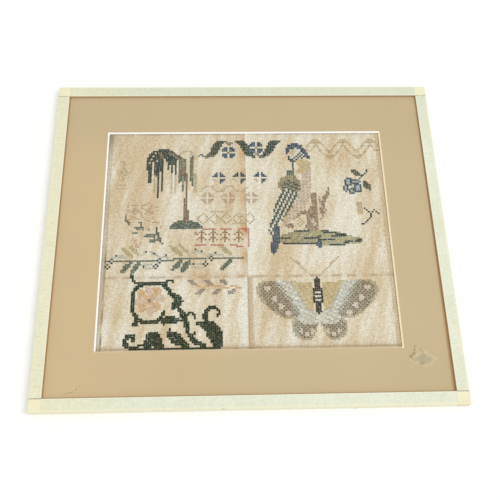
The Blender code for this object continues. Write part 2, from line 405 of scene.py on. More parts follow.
def make_mat_finish():
    """Paper facing: faint fibres and clouds, yellower at the left, painted shade towards the top, a grey
    scuff with a pale halo, a few marks, a dent drawn as painted shade and a painted highlight, a painted
    brown shadow along the rails, and the white core inside, with painted warm shade on its right and lower
    bevels."""
    finish, tree, shader, place = new_finish("tan_board", 0.88)
    parts = add_node(tree, "SeparateXYZ", (place,)).outputs
    age = use_group(tree, age_group, Vector=place, Size=0.05)
    fibres = noise(tree, place, 1500.0, 3.0, 0.7)
    not_left = ramp(tree, parts[0], -0.14, -0.06, 0.0, 0.5)
    facing = lay_over(tree, MAT_TONE, (
        (ramp(tree, parts[0], 0.06, -0.13), MAT_WARM),
        # Darker towards the top: painted shade where the light falls off.
        (ramp(tree, parts[1], 0.07, 0.13), MAT_TOP_SHADE),
        (ramp(tree, parts[0], 0.1, 0.16, 0.0, 0.6), MAT_DULL),
        (times(tree, ramp(tree, parts[1], -0.11, -0.135), not_left), MAT_DULL),
        (times(tree, age["Cloud"], 0.4), MAT_CLOUD),
    ))
    facing = shaded(tree, facing, ramp(tree, fibres, 0.3, 0.7, 0.965, 1.03))
    off_x = work(tree, "DIVIDE", work(tree, "SUBTRACT", parts[0], SCUFF_PLACE[0]), SCUFF_REACH[0])
    off_y = work(tree, "DIVIDE", work(tree, "SUBTRACT", parts[1], SCUFF_PLACE[1]), SCUFF_REACH[1])
    squares = work(tree, "ADD", work(tree, "POWER", off_x, 2.0), work(tree, "POWER", off_y, 2.0))
    reach = work(tree, "SQRT", squares)
    ragged = work(tree, "ADD", reach, times(tree, noise(tree, place, 150.0, 3.0), 1.1))
    halo = times(tree, ramp(tree, ragged, 1.45, 1.3), 0.3)
    scuffed = times(tree, ramp(tree, ragged, 1.25, 0.85), 0.7)
    facing = lay_over(tree, facing, ((halo, MAT_HALO), (scuffed, MAT_SCUFF)))
    for start_x, start_y, end_x, end_y, wide, strength, colour in MAT_MARKS:
        mark = near_line(tree, parts, (start_x * MM, start_y * MM), (end_x * MM, end_y * MM), wide * MM)
        facing = blend_tones(tree, times(tree, mark, strength), facing, tone(*colour))
    inside_x = ramp(tree, work(tree, "ABSOLUTE", parts[0]), WINDOW_HALF_X, WINDOW_HALF_X - 0.05 * MM)
    # A painted brown shadow on the facing along the rails: widest beside the right rail and wider towards the
    # bottom, narrow along the bottom and left rails.
    shadow_width = work(tree, "MULTIPLY_ADD", parts[1], -0.008, 1.7 * MM)
    to_right = work(tree, "DIVIDE", work(tree, "SUBTRACT", RAIL_SIGHT["x"], parts[0]), shadow_width)
    to_bottom = work(tree, "DIVIDE", work(tree, "ADD", RAIL_SIGHT["y"], parts[1]), 1.2 * MM)
    to_left = work(tree, "DIVIDE", work(tree, "ADD", RAIL_SIGHT["x"], parts[0]), 1.0 * MM)
    to_rail = work(tree, "MINIMUM", work(tree, "MINIMUM", to_right, to_bottom), to_left)
    rail_shadow = times(tree, ramp(tree, to_rail, 1.25, 0.75), 0.85)
    facing = blend_tones(tree, rail_shadow, facing, MAT_RAIL_SHADOW)
    from_middle = work(tree, "SUBTRACT", parts[1], (WINDOW_LOW_Y + WINDOW_HIGH_Y) / 2)
    window_half_y = (WINDOW_HIGH_Y - WINDOW_LOW_Y) / 2
    inside_y = ramp(tree, work(tree, "ABSOLUTE", from_middle), window_half_y, window_half_y - 0.05 * MM)
    bevel = times(tree, inside_x, inside_y)
    # The right and lower bevels face away from the lamp: their warmer tones are painted shade.
    core = lay_over(tree, MAT_CORE, (
        (ramp(tree, parts[1], -0.1185, -0.1195), MAT_CORE_LOWER_SHADE),
        (ramp(tree, parts[0], 0.142, 0.1435), MAT_CORE_RIGHT_SHADE),
    ))
    tree.links.new(blend_tones(tree, bevel, facing, core), shader.inputs["Base Color"])
    give_relief(tree, shader, fibres, 0.05 * MM, 0.5)
    return finish


dress(("mat_board",), make_mat_finish())

# Backing board
# Plain grey-brown board closes the back. Its face is pressed pulp, with long fibres and a few dark specks.
BOARD_TONE = tone(164, 156, 142)
BOARD_CLOUD = tone(146, 134, 116)
BOARD_SPECK = tone(92, 82, 70)


def make_board_finish():
    """Pressed pulp: clouds, fibres in all directions and dark specks."""
    finish, tree, shader, place = new_finish("grey_board", 0.92)
    age = use_group(tree, age_group, Vector=place, Size=0.02)
    fibres = noise(tree, stretch(tree, place, (500, 1800, 900)), 1.0, 4.0, 0.7)
    pulp = blend_tones(tree, age["Cloud"], BOARD_TONE, BOARD_CLOUD)
    pulp = shaded(tree, pulp, ramp(tree, fibres, 0.3, 0.7, 0.9, 1.06))
    pulp = blend_tones(tree, times(tree, age["Fleck"], 0.5), pulp, BOARD_SPECK)
    tree.links.new(pulp, shader.inputs["Base Color"])
    give_relief(tree, shader, fibres, 0.08 * MM, 0.6)
    return finish


dress(("backing_board",), make_board_finish())

# Linen
# Plain-weave linen of about 26 threads to the inch, with a turned hem on all sides. It was folded in four
# for years: each fold is a browned ridge or groove beside a bleached band, and these bands also hold
# painted shade on the side away from the lamp and painted light on the side towards it.
CLOTH_LOW, CLOTH_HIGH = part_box("sampler_cloth")
CLOTH_MIDDLE_Z = 4.35 * MM
CLOTH_FACE = 0.5 * MM
CLOTH_BACK = 0.2 * MM
CLOTH_SWAY = 0.15 * MM
FOLD_X = 0 * MM
FOLD_Y = -46 * MM
FOLD_HEIGHT = 0.62 * MM
FOLD_SPREAD = 6 * MM
WAVE_HEIGHT = 0.2 * MM
WAVE_LENGTH_X = 67 * MM
WAVE_LENGTH_Y = 88 * MM
HEM_SIDE = 139.8 * MM
HEM_LOWER = -117.2 * MM
HEM_STEP = 0.22 * MM
HEM_BLEND = 0.5 * MM
GRID_STEP = 1.48 * MM
THREAD_PITCH = 0.979 * MM
STREAK_LEAN = -14
WAVE_COUNT = 14
WAVE_SUM = 3.7
LINEN_TONE = tone(223, 210, 181)
# Long stains: place x, y, half width and half length in mm, and how browned, or bleached below 0.
LONG_STAINS = (
    (29, -24, 4.5, 26, 0.7), (104, 90, 7, 15, 0.6), (92, 76, 5, 14, 0.4), (124, -22, 5, 30, 0.5),
    (117, 34, 6, 14, 0.5), (-127, 55, 12, 60, 0.75), (-39, -55, 9, 7, 0.7), (-72, -8, 5, 16, 0.35),
    (-107, -78, 10, 22, 0.2), (18, -88, 6, 22, 0.4), (60, -29, 9, 11, -0.6), (-62, -66, 12, 26, -0.75),
    (112, 8, 15, 24, -0.7), (42, -101, 8, 11, -0.6), (-9, -84, 7, 34, -0.4), (80, 60, 8, 22, -0.4),
    (84, -30, 8, 12, -0.5), (-42, 30, 10, 20, -0.3), (-75, 20, 9, 26, -0.3), (105, -100, 14, 12, -0.3),
    (96, 16, 9, 14, -0.6), (-128, -100, 12, 10, -0.5),
)


def soft_step(value, low, high):
    """Goes smoothly from 0 to 1 as the value goes from low to high: 3 s squared less 2 s cubed."""
    share = np.clip((value - low) / (high - low), 0, 1)
    return share * share * (3 - 2 * share)


def bell(value, middle, reach):
    """1 at the middle, dying away on both sides of it: e to the power of minus the square of the distance."""
    return np.exp(-(((value - middle) / reach) ** 2))


def waves(x, y, length, lean, spread, seed):
    """Slow unevenness: the sum of 14 sine waves, whose lengths and leans differ a little from those given,
    over a number that brings it to about -1 to 1. The lean is the direction, in degrees, of the waves."""
    draw = np.random.default_rng(seed)
    total = np.zeros_like(x)
    turns = draw.normal(lean, spread, WAVE_COUNT)
    factors = draw.uniform(0.6, 1.6, WAVE_COUNT)
    starts = draw.uniform(0, 7, WAVE_COUNT)
    for turn, factor, start in zip(turns, factors, starts):
        along = x * np.cos(np.radians(turn)) + y * np.sin(np.radians(turn))
        total += np.sin(2 * np.pi * along / (length * factor) + start)
    return total / WAVE_SUM


def lay_linen(u, v):
    """Where a point of the linen lies, from its place u, v counted along the threads, in metres.
    The threads sway a little. The height is that of the CAD sheet: two folds that cross, each dying away
    from its line, and slow waves. Finer puckers, the folds' sharp lines and the hem's step are added."""
    inner = soft_step(CLOTH_HIGH.x - np.abs(u), 0, 12 * MM)
    inner = inner * soft_step(v - CLOTH_LOW.y, 0, 12 * MM) * soft_step(CLOTH_HIGH.y - v, 0, 12 * MM)
    x = u + CLOTH_SWAY * inner * waves(u, v, 150 * MM, 70, 40, 3)
    y = v + CLOTH_SWAY * inner * waves(u, v, 170 * MM, 10, 40, 4)
    from_upright = np.abs(x - FOLD_X)
    from_level = y - FOLD_Y
    side = np.tanh(from_level / FOLD_SPREAD)
    upright = side * np.exp(-from_upright / FOLD_SPREAD)
    level = -0.8 * np.exp(-np.abs(from_level) / FOLD_SPREAD)
    slow = np.sin(2 * np.pi * (x + 0.35 * y) / WAVE_LENGTH_X) * np.cos(2 * np.pi * y / WAVE_LENGTH_Y)
    sharp = 0.12 * side * np.exp(-from_upright / (0.9 * MM)) - 0.08 * np.exp(-np.abs(from_level) / (0.9 * MM))
    puckers = 0.05 * waves(x, y, 13 * MM, 15, 40, 5) + 0.03 * waves(x, y, 6 * MM, 60, 60, 6)
    side_hem = soft_step(np.abs(u), HEM_SIDE, HEM_SIDE + HEM_BLEND)
    lower_hem = soft_step(-v, -HEM_LOWER, -HEM_LOWER + HEM_BLEND)
    z = CLOTH_MIDDLE_Z + FOLD_HEIGHT * (upright + level) + WAVE_HEIGHT * slow
    z = z + MM * (sharp + puckers * inner) + HEM_STEP * np.maximum(side_hem, lower_hem)
    return x, y, z


def close_lines(middle, reach):
    """Extra grid lines on both sides of a fold or hem line."""
    return middle + reach * np.array([-1.0, -0.55, -0.22, 0.0, 0.22, 0.55, 1.0])


def grid_lines(low, high, extras):
    """Even lines from low to high with the extra ones among them, none closer than a quarter of the step."""
    even = np.linspace(low, high, round((high - low) / GRID_STEP) + 1)
    keep = np.all(np.abs(even[:, None] - extras[None, :]) > GRID_STEP / 4, axis=1)
    keep[[0, -1]] = True
    return np.sort(np.concatenate([even[keep], extras]))


def tint_linen(x, y):
    """The linen's colour: bleached and browned streaks that lean, the folds' bands, with painted light and
    shade beside each fold, and the hem's strips with their seam. A streak is waves that run nearly level, so
    it is long up the cloth and narrow across it."""
    broad = waves(x, y, 60 * MM, -5, 50, 11)
    streaks = waves(x, y, 15 * MM, STREAK_LEAN, 9, 12)
    fine = waves(x, y, 6 * MM, STREAK_LEAN, 22, 13)
    mottle = waves(x, y, 4.5 * MM, 40, 60, 18)
    age = 0.5 * broad + 0.46 * streaks + 0.26 * fine + 0.24 * mottle
    turn = np.radians(STREAK_LEAN)
    for stain_x, stain_y, wide, long, share in LONG_STAINS:
        off_x = x - stain_x * MM
        off_y = y - stain_y * MM
        across = off_x * np.cos(turn) + off_y * np.sin(turn)
        along = off_y * np.cos(turn) - off_x * np.sin(turn)
        age = age - 1.5 * share * bell(across, 0, wide * MM) * bell(along, 0, long * MM)
    to_left = soft_step(-x, -10 * MM, 120 * MM) * soft_step(y, -40 * MM, 70 * MM)
    above = soft_step(y - FOLD_Y, -1.5 * MM, 1.5 * MM)
    below = 1 - above
    rough = 0.8 + 0.4 * waves(x, y, 30 * MM, 90, 20, 14)
    # Beside the upright fold, above the level fold: a browned band with painted shade on the left and a
    # bleached band with painted light on the right; below it the sides swap. The thin dark lines on both
    # folds are painted crease shade with some browning.
    left_side = 1 - soft_step(x, -0.7 * MM, 0.3 * MM)
    band = soft_step(x, -11 * MM, -3 * MM) * left_side * above
    bleached_lit_band = (1 - left_side) * np.exp(-x / (7 * MM)) * above
    browned_shaded_strip = soft_step(x, -0.6 * MM, 0.2 * MM) * (1 - soft_step(x, 2.8 * MM, 3.8 * MM)) * below
    off_level = y - FOLD_Y
    blotches = 0.2 + 0.5 * np.clip(waves(x, y, 17 * MM, 0, 25, 17) + 0.35, 0, 1)
    near_left = soft_step(-x, -2 * MM, 8 * MM) * soft_step(x, -75 * MM, -40 * MM)
    hem = soft_step(np.abs(x), HEM_SIDE - 0.4 * MM, HEM_SIDE + 0.4 * MM)
    worn_seam = 0.18 + (0.17 + 0.45 * soft_step(-y, -60 * MM, 60 * MM)) * (x < 0)
    seam = bell(np.abs(x), HEM_SIDE, 0.6 * MM) * worn_seam
    stain = bell(x, -142 * MM, 7 * MM) * bell(y, 111 * MM, 13 * MM)
    # Each layer: its share at each point, and its tone.
    layers = (
        (0.6 * to_left, (215, 195, 160)),
        (soft_step(age, -0.05, 0.95) * 0.88, (234, 228, 210)),
        (soft_step(-age, 0.15, 1.2) * 0.7, (208, 182, 142)),
        (0.72 * band * rough, (210, 176, 130)),
        (0.85 * bleached_lit_band, (238, 236, 222)),
        (0.3 * bell(x, -0.5 * MM, 0.6 * MM) * above * rough, (150, 130, 104)),
        (0.75 * bell(x, -4.6 * MM, 3.4 * MM) * below, (234, 232, 218)),
        (0.7 * browned_shaded_strip, (198, 168, 126)),
        (0.7 * bell(x, -0.3 * MM, 0.6 * MM) * below, (150, 122, 90)),
        (0.35 * bell(x, 3.6 * MM, 0.5 * MM) * below, (160, 132, 98)),
        (blotches * bell(off_level, 0.2 * MM, 1.1 * MM), (164, 136, 104)),
        (0.5 * bell(off_level, 2 * MM, 4 * MM) * near_left * rough, (198, 166, 124)),
        (0.5 * hem * (x < 0), (190, 179, 156)),
        (0.7 * soft_step(x, HEM_SIDE - 1.2 * MM, HEM_SIDE + 1.4 * MM), (206, 178, 140)),
        (seam * rough, (128, 110, 86)),
        (0.4 * soft_step(-y, 112 * MM, 117 * MM), (196, 166, 124)),
        (0.5 * bell(y, HEM_LOWER, 0.9 * MM), (146, 118, 84)),
        (0.6 * stain * (0.8 + 0.3 * fine), (140, 124, 104)),
    )
    colours = np.ones((*x.shape, 3)) * np.array(LINEN_TONE[:3])
    for share, layer_tone in layers:
        share = np.clip(share, 0, 1)[..., None]
        colours = colours * (1 - share) + np.array(tone(*layer_tone)[:3]) * share
    return colours


def make_linen_finish():
    """Linen: the tint of each point, its plain weave and slubs, dark pores between the threads, and lint."""
    finish, tree, shader, place = new_finish("aged_linen", 0.9, 0.15)
    threads = tree.nodes.new("ShaderNodeUVMap").outputs[0]
    weave = use_group(tree, weave_group, Vector=threads, Pitch=THREAD_PITCH, Wobble=0.5)
    tint = add_node(tree, "Attribute", attribute_name="linen_tint").outputs["Color"]
    pores = ramp(tree, weave["Height"], 0.02, 0.5, 0.66, 1.05)
    slubs = work(tree, "MULTIPLY_ADD", weave["Slubs"], 0.2, 0.9)
    lint = ramp(tree, noise(tree, threads, 700.0, 2.0, 0.7), 0.3, 0.7, 0.83, 1.15)
    shade = times(tree, times(tree, pores, slubs), lint)
    tree.links.new(shaded(tree, tint, shade), shader.inputs["Base Color"])
    relief = work(tree, "MULTIPLY_ADD", weave["Slubs"], 0.4, weave["Height"])
    give_relief(tree, shader, relief, 0.22 * MM, 0.7)
    return finish


def paint_points(piece, label, colours):
    """Gives each point of the mesh its colour, under that label."""
    layer = piece.data.attributes.new(label, "FLOAT_COLOR", "POINT")
    layer.data.foreach_set("color", np.pad(colours, ((0, 0), (0, 1)), constant_values=1).ravel())


def corner_points(piece):
    """The number of the point at each corner of each face."""
    corners = np.empty(len(piece.data.loops), dtype=np.int64)
    piece.data.loops.foreach_get("vertex_index", corners)
    return corners


def place_corners(piece, label, places):
    """Gives each corner of each face its place in a pattern, under that label."""
    piece.data.uv_layers.new(name=label).data.foreach_set("uv", places.ravel())


def make_linen():
    """A closed sheet: the face and back are the same grid of threads, joined all round by a narrow edge."""
    hem_lines = [-HEM_SIDE, -HEM_SIDE - HEM_BLEND, HEM_SIDE, HEM_SIDE + HEM_BLEND]
    extras_x = np.concatenate([close_lines(FOLD_X, 3 * MM), hem_lines])
    extras_y = np.concatenate([close_lines(FOLD_Y, 3 * MM), [HEM_LOWER, HEM_LOWER - HEM_BLEND]])
    lines_x = grid_lines(CLOTH_LOW.x, CLOTH_HIGH.x, extras_x)
    lines_y = grid_lines(CLOTH_LOW.y, CLOTH_HIGH.y, extras_y)
    u, v = np.meshgrid(lines_x, lines_y)
    x, y, z = lay_linen(u, v)
    rows, columns = u.shape
    face = np.stack([x, y, z + CLOTH_FACE], axis=-1).reshape(-1, 3)
    back = np.stack([x, y, z - CLOTH_BACK], axis=-1).reshape(-1, 3)
    number = np.arange(rows * columns).reshape(rows, columns)
    corners = [number[:-1, :-1], number[:-1, 1:], number[1:, 1:], number[1:, :-1]]
    quads = np.stack(corners, axis=-1).reshape(-1, 4)
    under = quads[:, ::-1] + rows * columns
    ring = np.concatenate([number[0, :-1], number[:-1, -1], number[-1, :0:-1], number[:0:-1, 0]])
    after = np.roll(ring, -1)
    rim = np.stack([ring, ring + rows * columns, after + rows * columns, after], axis=-1)
    points = np.concatenate([face, back]).tolist()
    faces = np.concatenate([quads, under, rim]).tolist()
    cloth = new_piece("linen_cloth", points, faces, make_linen_finish(), "linen")
    tint = tint_linen(x, y).reshape(-1, 3)
    paint_points(cloth, "linen_tint", np.concatenate([tint, tint]))
    thread_place = np.stack([u, v], axis=-1).reshape(-1, 2)
    places = np.concatenate([thread_place, thread_place])
    place_corners(cloth, "threads", places[corner_points(cloth)])
    return cloth


linen = make_linen()
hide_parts("sampler_cloth")

# Cross stitches
# Each stitch is two short lengths of wool or silk that cross over two threads of the linen, the second
# on top. A motif is a chart of stitches drawn with a few shapes, then sewn as one piece.
STITCH_ACROSS = 1.958 * MM
STITCH_UP = 1.944 * MM
CHART_START = (0.75 * MM, -1.5 * MM)
COLUMN, ROW = np.meshgrid(np.arange(-74, 75), np.arange(-62, 62))
EVERY_OTHER = (COLUMN + ROW) % 2 == 0
TWO_OF_THREE = (COLUMN + ROW) % 3 > 0
SLANTED_DOTS = (COLUMN + 2 * ROW) % 5 < 2
THREADS = {
    "dark green": (tone(32, 55, 30), 1.12),
    "green": (tone(62, 86, 74), 0.95),
    "garland green": (tone(54, 78, 68), 1.0),
    "sprig green": (tone(84, 106, 92), 0.85),
    "teal": (tone(38, 66, 64), 1.0),
    "pale teal": (tone(82, 108, 94), 0.95),
    "stem teal": (tone(76, 100, 92), 0.75),
    "sage": (tone(104, 114, 90), 0.9),
    "grey green": (tone(138, 142, 116), 0.8),
    "olive": (tone(156, 148, 108), 0.85),
    "bank olive": (tone(172, 168, 124), 0.8),
    "faded olive": (tone(186, 174, 124), 0.72),
    "ghost olive": (tone(198, 182, 142), 0.6),
    "blue": (tone(52, 86, 110), 1.0),
    "dull blue": (tone(172, 182, 178), 0.8),
    "ice": (tone(190, 196, 186), 0.7),
    "black": (tone(32, 34, 34), 1.0),
    "white": (tone(232, 229, 214), 0.9),
    "brown": (tone(132, 108, 84), 0.9),
    "stump": (tone(160, 137, 108), 0.88),
    "rust": (tone(158, 112, 66), 0.75),
    "red": (tone(200, 118, 98), 0.7),
    "gold": (tone(202, 184, 126), 0.75),
    "faded gold": (tone(198, 172, 122), 0.65),
    "gold scroll": (tone(190, 160, 110), 0.56),
    "ghost gold": (tone(206, 182, 140), 0.5),
    "orange": (tone(220, 180, 124), 0.78),
    "pink": (tone(224, 192, 166), 0.66),
    "ghost pink": (tone(196, 158, 134), 0.5),
    "mauve": (tone(150, 138, 126), 0.8),
    "faded mauve": (tone(190, 160, 138), 0.65),
    "breast": (tone(220, 204, 184), 0.75),
    "moth grey": (tone(150, 139, 116), 0.66),
    "moth dark": (tone(104, 94, 76), 0.78),
    "moth spot": (tone(228, 212, 196), 0.8),
    "moth edge": (tone(164, 154, 112), 0.6),
    "moth blue": (tone(198, 205, 198), 0.72),
    "moth pale": (tone(236, 234, 222), 0.76),
    "moth gold": (tone(198, 174, 104), 0.7),
}
TONE_NAMES = list(THREADS)


def bare():
    """An empty chart: 0 is bare linen, and any other number is a thread."""
    return np.zeros(COLUMN.shape, dtype=int)


def sew(chart, where, thread):
    """Puts that thread where the mask is true."""
    chart[where] = TONE_NAMES.index(thread) + 1


def curve(points):
    """A smooth path through the points: between two of them, the cubic whose slope at each point is half
    the step from the point before it to the point after it."""
    points = np.array(points, dtype=float)
    padded = np.concatenate([2 * points[:1] - points[1:2], points, 2 * points[-1:] - points[-2:-1]])
    share = np.linspace(0, 1, 17)[:-1, None, None]
    before, start, end, after = padded[:-3], padded[1:-2], padded[2:-1], padded[3:]
    slope = (end - before) / 2
    bend = before - 2.5 * start + 2 * end - after / 2
    twist = (after - before) / 2 + 1.5 * (start - end)
    path = start + slope * share + bend * share**2 + twist * share**3
    return np.concatenate([path.transpose(1, 0, 2).reshape(-1, 2), points[-1:]])


def stroke(points, *widths):
    """The stitches whose middle is within half the width of a smooth path, with widths spread along it."""
    path = curve(points)
    half = np.interp(np.linspace(0, 1, len(path)), np.linspace(0, 1, len(widths)), widths) / 2
    gap = np.hypot(COLUMN[..., None] - path[:, 0], ROW[..., None] - path[:, 1])
    return (gap <= half).any(axis=-1)


def patch(points):
    """The stitches inside a smooth closed outline: those with an odd number of its edges to their right."""
    outline = curve([*points, points[0]])
    inside = np.zeros(COLUMN.shape, dtype=bool)
    for (x0, y0), (x1, y1) in zip(outline, np.roll(outline, -1, axis=0)):
        crosses = (y0 > ROW) != (y1 > ROW)
        reach = x0 + (ROW - y0) * (x1 - x0) / (y1 - y0 if y1 != y0 else 1)
        inside ^= crosses & (COLUMN < reach)
    return inside


def leaf(base, tip, width):
    """The stitches of a leaf: its half width is the sine of the share of the way from base to tip."""
    step = np.array(tip, dtype=float) - base
    length = np.hypot(*step)
    along = ((COLUMN - base[0]) * step[0] + (ROW - base[1]) * step[1]) / length
    across = ((COLUMN - base[0]) * step[1] - (ROW - base[1]) * step[0]) / length
    share = np.clip(along / length, 0, 1)
    half = width / 2 * np.sin(np.pi * share) ** 0.7 + 0.3
    return (np.abs(across) <= half) & (along >= -0.3) & (along <= length + 0.3)


def oval(x, y, across, up):
    """The stitches inside an ellipse."""
    return ((COLUMN - x) / across) ** 2 + ((ROW - y) / up) ** 2 <= 1


def bar(x0, x1, y):
    """Stitches side by side in one row."""
    return (COLUMN >= x0) & (COLUMN <= x1) & (ROW == y)


def column(x, y0, y1):
    """Stitches one above the other in one column."""
    return (COLUMN == x) & (ROW >= min(y0, y1)) & (ROW <= max(y0, y1))


def place_chart(chart, x, y, rows, threads):
    """Sews a small charted repeat, its top left stitch at x, y. Each letter stands for a thread."""
    for down, row in enumerate(rows):
        for along, letter in enumerate(row):
            if letter in threads:
                sew(chart, (COLUMN == x + along) & (ROW == y - down), threads[letter])


def make_thread_finish():
    """Wool and silk: each stitch has its own tone, with fine twist along the thread and a soft sheen."""
    finish, tree, shader, place = new_finish("sewing_thread", 0.8, 0.05)
    colour = add_node(tree, "Attribute", attribute_name="thread_tone").outputs["Color"]
    along = tree.nodes.new("ShaderNodeUVMap").outputs[0]
    parts = add_node(tree, "SeparateXYZ", (along,)).outputs
    turn = work(tree, "MULTIPLY_ADD", parts[0], 34.0, times(tree, parts[1], 12.6))
    twist = work(tree, "MULTIPLY_ADD", work(tree, "SINE", turn), 0.5, 0.5)
    fuzz = noise(tree, place, 2600.0, 2.0, 0.7)
    shade = work(tree, "MULTIPLY_ADD", fuzz, 0.3, work(tree, "MULTIPLY_ADD", twist, 0.12, 0.8))
    tree.links.new(shaded(tree, colour, shade), shader.inputs["Base Color"])
    give_relief(tree, shader, work(tree, "ADD", twist, fuzz), 0.06 * MM, 0.7)
    return finish


thread_finish = make_thread_finish()
LEG_STATIONS = np.array([0.0, 0.17, 0.5, 0.83, 1.0])
LEG_TAPER = np.array([0.5, 0.93, 1.0, 0.93, 0.5])
LEG_ARCH = np.array([-0.35, 0.5, 1.0, 0.5, -0.35])
RING = 5
LEG_HEIGHT = {"under": 0.2 * MM, "over": 0.4 * MM}
LEG_HALF_HEIGHT = 0.22 * MM
LEG_HALF_WIDTH = 0.47 * MM
LEG_REACH = 0.9
STITCH_STRAY = 0.035


def leg_faces():
    """The faces of one leg: quads between neighbouring rings, and a cap on each end."""
    ring = np.arange(RING)
    following = (ring + 1) % RING
    faces = []
    for station in range(len(LEG_STATIONS) - 1):
        near = station * RING
        far = near + RING
        faces += np.stack([near + ring, near + following, far + following, far + ring], axis=-1).tolist()
    last = (len(LEG_STATIONS) - 1) * RING
    return faces + [ring[::-1].tolist(), (last + ring).tolist()]


def sew_piece(name, chart, seed, shift=(0, 0)):
    """Sews a chart as one mesh, shifted by a part of a stitch. Each leg is an arched thread from corner to
    corner of its stitch: five rings that taper to the holes, on the linen's own height. Place, width and
    tone differ a little each time."""
    draw = np.random.default_rng(seed)
    rows, columns = np.nonzero(chart)
    count = len(rows)
    steps_x = COLUMN[rows, columns] + shift[0] + draw.normal(0, STITCH_STRAY, count)
    steps_y = ROW[rows, columns] + shift[1] + draw.normal(0, STITCH_STRAY, count)
    middle_u = steps_x * STITCH_ACROSS + CHART_START[0]
    middle_v = steps_y * STITCH_UP + CHART_START[1]
    kinds = chart[rows, columns] - 1
    palette = np.array([THREADS[thread][0][:3] for thread in TONE_NAMES])
    thickness = np.array([THREADS[thread][1] for thread in TONE_NAMES])[kinds]
    tones = palette[kinds] * draw.normal(1, 0.1, (count, 1)).clip(0.75, 1.3)
    half_width = LEG_HALF_WIDTH * thickness * draw.normal(1, 0.07, count).clip(0.8, 1.2)
    thickness = thickness[:, None, None]
    turn = np.arange(RING) * 2 * np.pi / RING + np.pi / 2
    template = leg_faces()
    points, faces = [], []
    for leg, (slant, height) in enumerate(((1, LEG_HEIGHT["under"]), (-1, LEG_HEIGHT["over"]))):
        reach = ((LEG_STATIONS - 0.5) * LEG_REACH)[:, None]
        lean = draw.normal(0, 0.04, count)[:, None, None]
        across = half_width[:, None, None] * LEG_TAPER[:, None] * np.cos(turn) / np.sqrt(2)
        u = middle_u[:, None, None] + reach * STITCH_ACROSS * (1 - slant * lean) - slant * across
        v = middle_v[:, None, None] + slant * reach * STITCH_UP * (1 + slant * lean) + across
        x, y, z = lay_linen(u, v)
        rise = height * LEG_ARCH[:, None] + LEG_HALF_HEIGHT * LEG_TAPER[:, None] * np.sin(turn)
        points.append(np.stack([x, y, z + CLOTH_FACE + thickness * rise], axis=-1).reshape(-1, 3))
        starts = (leg * count + np.arange(count)) * len(LEG_STATIONS) * RING
        faces += (starts[:, None, None] + np.array(template[:-2])).reshape(-1, 4).tolist()
        faces += (starts[:, None, None] + np.array(template[-2:])).reshape(-1, RING).tolist()
    piece = new_piece(name, np.concatenate(points).tolist(), faces, thread_finish, "stitch_thread")
    each = len(LEG_STATIONS) * RING
    paint_points(piece, "thread_tone", np.repeat(np.concatenate([tones, tones]), each, axis=0))
    corners = corner_points(piece)
    along = LEG_STATIONS[corners % each // RING]
    place_corners(piece, "along_thread", np.stack([along, corners % RING / RING], axis=-1))


# Weeping tree
# Dark teal wool: long fronds of uneven length hang from an arched crown, with sage ones in front of a
# brown trunk that widens in steps to its green mound.
CROWN_TOP = 50
CROWN_MIDDLE = -44
tree_chart = bare()
draw = np.random.default_rng(40)
for frond_x in (-49, -40, -38, -28, -27):
    sew(tree_chart, column(frond_x, 25, 36), "ghost olive")
sew(tree_chart, stroke(((-36, 48), (-33, 50), (-29, 49), (-27, 45)), 1.2), "ghost olive")
for frond_x in (-36, -35, -34, -33, -30, -29):
    frond_end = draw.integers(26, 35)
    sew(tree_chart, column(frond_x, frond_end, draw.integers(45, 49)), "sage")
    sew(tree_chart, column(frond_x, frond_end, frond_end + draw.integers(0, 9)), "pale teal")
sew(tree_chart, column(-34, 30, 44) | column(-29, 34, 38), "grey green")
sew(tree_chart, oval(-34.5, 37, 2.2, 2.6) & TWO_OF_THREE, "brown")
crown_path = (
    (-51.6, 47.6), (-50.4, 49), (-48, 49.4), (-45.6, 50.4), (-42, 50.2), (-39.6, 48.8), (-37.6, 46.8),
    (-36, 45.6),
)
sew(tree_chart, stroke(crown_path, 1.2, 2.0, 2.2, 1.6, 1.1), "teal")
for frond_x in range(-53, -37):
    frond_top = CROWN_TOP - round(0.05 * (frond_x - CROWN_MIDDLE) ** 2)
    reach_down = (14, 4, 9)[frond_x % 3] if frond_x < -43 else (11, 4)[frond_x % 2]
    sew(tree_chart, column(frond_x, frond_top - reach_down - draw.integers(0, 5), frond_top), "teal")
sew(tree_chart, column(-47, 22, 50) | column(-45, 26, 46) | column(-52, 31, 48), "teal")
for twig in (((-46.8, 49), (-45.6, 47.6), (-45.4, 45.6)), ((-42, 49), (-39.4, 47.8), (-37.6, 46), (-36, 45))):
    sew(tree_chart, stroke(twig, 1.2), "brown")
tree_chart[(COLUMN < -47) & (ROW > 42) & ((COLUMN * 3 + ROW * 2) % 7 == 0)] = 0
sew(tree_chart, column(-32, 21, 36) | column(-32, 7, 21) | column(-33, 7, 21) | column(-31, 7, 14), "brown")
mound = (oval(-32, 3, 9, 5.4) | oval(-35, 5, 3, 3.4) | oval(-30, 5, 3, 3.6)) & (ROW > 3)
sew(tree_chart, mound & (tree_chart == 0) | mound & (ROW < 7), "pale teal")
sew(tree_chart, mound & ((COLUMN * 2 + ROW * 3) % 7 < 2), "green")
sew_piece("stitches_tree", tree_chart, 21, (0.3, 0.1))

